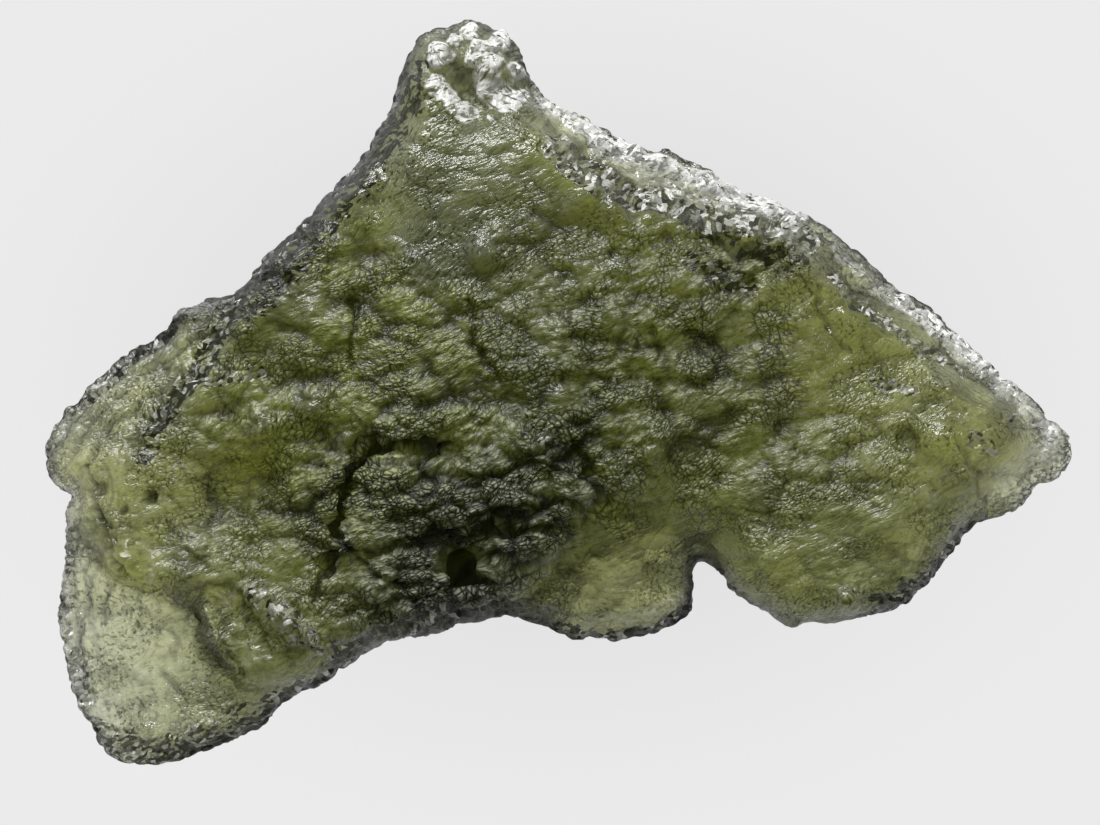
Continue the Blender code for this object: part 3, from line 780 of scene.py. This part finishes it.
def broken_facets(tree, body, streaks, glint_places):
    """The broken bands and the glinting lumps: how white with a painted glint, how dark with painted shade
    and how tipped each facet is.
    """
    grid = stretched(tree, body, FACET, FACET_LENGTH)
    facets = cells(tree, grid, "F1")
    chance = tree.nodes.new("ShaderNodeSeparateColor")
    tree.links.new(facets.outputs["Color"], chance.inputs["Color"])
    solid = between(tree, stored(tree, "broken"), *BROKEN_EDGE)
    # White facets with a painted glint, in the broken bands and on the lumps
    share = maths(tree, "MULTIPLY", stored(tree, "glint_odds"), solid)
    glint_chips = maths(tree, "LESS_THAN", chance.outputs["Red"], share)
    glint_chips = maths(tree, "MULTIPLY", glint_chips, mixed_value(tree, chance.outputs["Blue"], *GLINT_SPAN))
    painted_glint = maths(tree, "MAXIMUM", glint_chips, between(tree, glint_places, *GLINT_EDGE))
    painted_glint = maths(tree, "MULTIPLY", painted_glint, between(tree, streaks, *GLINT_STREAKS))
    # Gaps of painted shade, in the broken bands and the shade bands
    gap_shade = maths(tree, "MULTIPLY", between(tree, chance.outputs["Green"], *GAP_SHADE_EDGE), solid)
    shaded_facets = maths(tree, "LESS_THAN", chance.outputs["Blue"], stored(tree, "band_shade"))
    gap_shade = maths(tree, "MULTIPLY", maths(tree, "MAXIMUM", gap_shade, shaded_facets), GAP_SHADE_DEPTH)
    tilt = maths(tree, "MULTIPLY", facet_tilt(tree, grid, facets), maths(tree, "MAXIMUM", solid, glint_places))
    return painted_glint, gap_shade, tilt


def glass_material():
    material = bpy.data.materials.new("moldavite_glass")
    material.use_nodes = True
    tree = material.node_tree
    link = tree.links.new
    shader = tree.nodes["Principled BSDF"]
    shader.inputs["IOR"].default_value = GLASS_IOR

    etch, patch, glint_places = (stored(tree, name) for name in ("etch", "patch", "glint_places"))
    body = attribute(tree, "body_flow").outputs["Vector"]
    streaks = cloud(tree, stretched(tree, flow_vector(tree), STREAK, STREAK_LENGTH), STREAK_DETAIL)
    height, crease, groove_shade = fine_relief(tree, body, streaks, etch, patch)
    painted_glint, gap_shade, tilt = broken_facets(tree, body, streaks, glint_places)

    bump = tree.nodes.new("ShaderNodeBump")
    bump.inputs["Distance"].default_value = BUMP_DEPTH
    link(mixed_value(tree, etch, *BUMP_SPAN), bump.inputs["Strength"])
    link(maths(tree, "ADD", height, tilt), bump.inputs["Height"])
    link(bump.outputs["Normal"], shader.inputs["Normal"])

    # Painted shade darkens creases, grooves, gaps, edges, hollows and cuts, and a painted shade colour takes
    # the place of the haze where little light comes through; specks are dark, and painted glints are white
    grain = cloud(tree, stretched(tree, body, GRAIN, GRAIN), 0.0)
    speckled = maths(tree, "MULTIPLY", patch, SPECK_DARK)
    speck = maths(tree, "MULTIPLY", between(tree, grain, *SPECK_EDGE), speckled)
    # How much is kept after the painted shade and the dark specks
    keep = less(tree, crease, groove_shade, speck, gap_shade, stored(tree, "shade"))
    thick_shade = stored(tree, "thick_shade")
    haze = maths(tree, "MAXIMUM", stored(tree, "haze"), thick_shade)
    colour = mixed_colour(tree, haze, CLEAR_COLOUR, mixed_colour(tree, thick_shade, HAZE_COLOUR, THICK_SHADE_COLOUR))
    colour = mixed_colour(tree, maths(tree, "POWER", keep, KEEP_POWER), SPECK_AND_SHADE_COLOUR, colour)
    link(mixed_colour(tree, painted_glint, colour, GLINT_COLOUR), shader.inputs["Base Color"])

    # Tops are dulled, and less light passes through them, through the painted shade and through painted
    # glints
    tops = maths(tree, "MULTIPLY", between(tree, height, *TOPS_EDGE), TOPS_SPAN[1])
    tops = maths(tree, "ADD", TOPS_SPAN[0], tops)
    dulled = maths(tree, "ADD", HAZE_SHARE, maths(tree, "MULTIPLY", thick_shade, THICK_SHADE_SHARE))
    dulled = maths(tree, "MULTIPLY", maths(tree, "MULTIPLY", haze, dulled), tops)
    dulled = maths(tree, "MAXIMUM", dulled, maths(tree, "MULTIPLY", painted_glint, GLINT_SHARE))
    link(maths(tree, "SUBTRACT", 1.0, dulled), shader.inputs["Transmission Weight"])
    link(mixed_value(tree, etch, SMOOTH_ROUGHNESS, ETCHED_ROUGHNESS), shader.inputs["Roughness"])

    absorb = tree.nodes.new("ShaderNodeVolumeAbsorption")
    absorb.inputs["Color"].default_value = ABSORPTION_COLOUR
    absorb.inputs["Density"].default_value = ABSORPTION_DENSITY
    link(absorb.outputs["Volume"], tree.nodes["Material Output"].inputs["Volume"])
    return material


def stone():
    mesh = subdivided(welded_copy(frame["nodes"][NODE]))
    sculpt(mesh)
    mesh.materials.append(glass_material())
    piece = bpy.data.objects.new("moldavite_stone", mesh)
    bpy.context.scene.collection.objects.link(piece)
    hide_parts(NODE)
    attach(piece, "root")
    return piece


def floor_material():
    """An even glow, with a painted soft shadow of the stone in it."""
    material = bpy.data.materials.new("pale_floor")
    material.use_nodes = True
    material.cycles.emission_sampling = "NONE"
    tree = material.node_tree
    place = tree.nodes.new("ShaderNodeTexCoord").outputs["Object"]
    across = tree.nodes.new("ShaderNodeVectorMath")
    across.operation = "LENGTH"
    tree.links.new(vector_maths(tree, "DIVIDE", place, SHADE_SPAN), across.inputs[0])
    shade = maths(tree, "SUBTRACT", 1.0, between(tree, across.outputs["Value"], 0.0, 1.0))
    glow = tree.nodes.new("ShaderNodeEmission")
    strength = maths(tree, "SUBTRACT", 1.0, maths(tree, "MULTIPLY", shade, SHADE_DEPTH))
    tree.links.new(maths(tree, "MULTIPLY", strength, FLOOR_GLOW), glow.inputs["Strength"])
    tree.links.new(glow.outputs["Emission"], tree.nodes["Material Output"].inputs["Surface"])
    return material


def floor():
    mesh = bpy.data.meshes.new("floor")
    shape = bmesh.new()
    bmesh.ops.create_circle(shape, cap_ends=True, segments=FLOOR_CORNERS, radius=FLOOR_RADIUS)
    shape.to_mesh(mesh)
    shape.free()
    piece = bpy.data.objects.new("floor", mesh)
    piece.location.z = -FLOOR_DROP
    bpy.context.scene.collection.objects.link(piece)
    mesh.materials.append(floor_material())


def world():
    made = bpy.data.worlds.new("studio")
    bpy.context.scene.world = made
    made.use_nodes = True
    tree = made.node_tree
    split = tree.nodes.new("ShaderNodeSeparateXYZ")
    tree.links.new(tree.nodes.new("ShaderNodeTexCoord").outputs["Generated"], split.inputs["Vector"])
    fade = tree.nodes.new("ShaderNodeMapRange")
    fade.inputs["From Min"].default_value = 0.0
    fade.inputs["From Max"].default_value = HORIZON_REACH
    fade.inputs["To Min"].default_value = HORIZON
    fade.inputs["To Max"].default_value = ZENITH
    tree.links.new(split.outputs["Z"], fade.inputs["Value"])
    tree.links.new(fade.outputs["Result"], tree.nodes["Background"].inputs["Strength"])
    tree.nodes["Background"].inputs["Color"].default_value = (1.0, 1.0, 1.0, 1.0)


def soft_box(name, place, size, watts):
    light = bpy.data.lights.new(name, "AREA")
    light.shape = "SQUARE"
    light.size = size
    light.energy = watts
    lamp = bpy.data.objects.new(name, light)
    lamp.location = place
    lamp.rotation_euler = Vector(place).to_track_quat("Z", "Y").to_euler()
    bpy.context.scene.collection.objects.link(lamp)


def lights():
    world()
    for name, place, size, watts in SOFT_BOXES:
        soft_box(name, place, size, watts)


def camera():
    data = bpy.data.cameras.new("camera")
    data.lens = LENS
    data.sensor_width = SENSOR
    data.clip_start = NEAREST
    eye = bpy.data.objects.new("camera", data)
    across = PICTURE[0] * UNIT
    x = (PICTURE[0] / 2 - SHEET_MIDDLE[0]) * UNIT
    y = (SHEET_MIDDLE[1] - PICTURE[1] / 2) * UNIT
    eye.location = (x, y, EDGE_LEVEL + across * LENS / SENSOR)
    bpy.context.scene.collection.objects.link(eye)
    bpy.context.scene.camera = eye
    bpy.context.scene.view_settings.view_transform = "Standard"


noise.seed_set(KNOB_SEED)
camera()
lights()
floor()
stone()
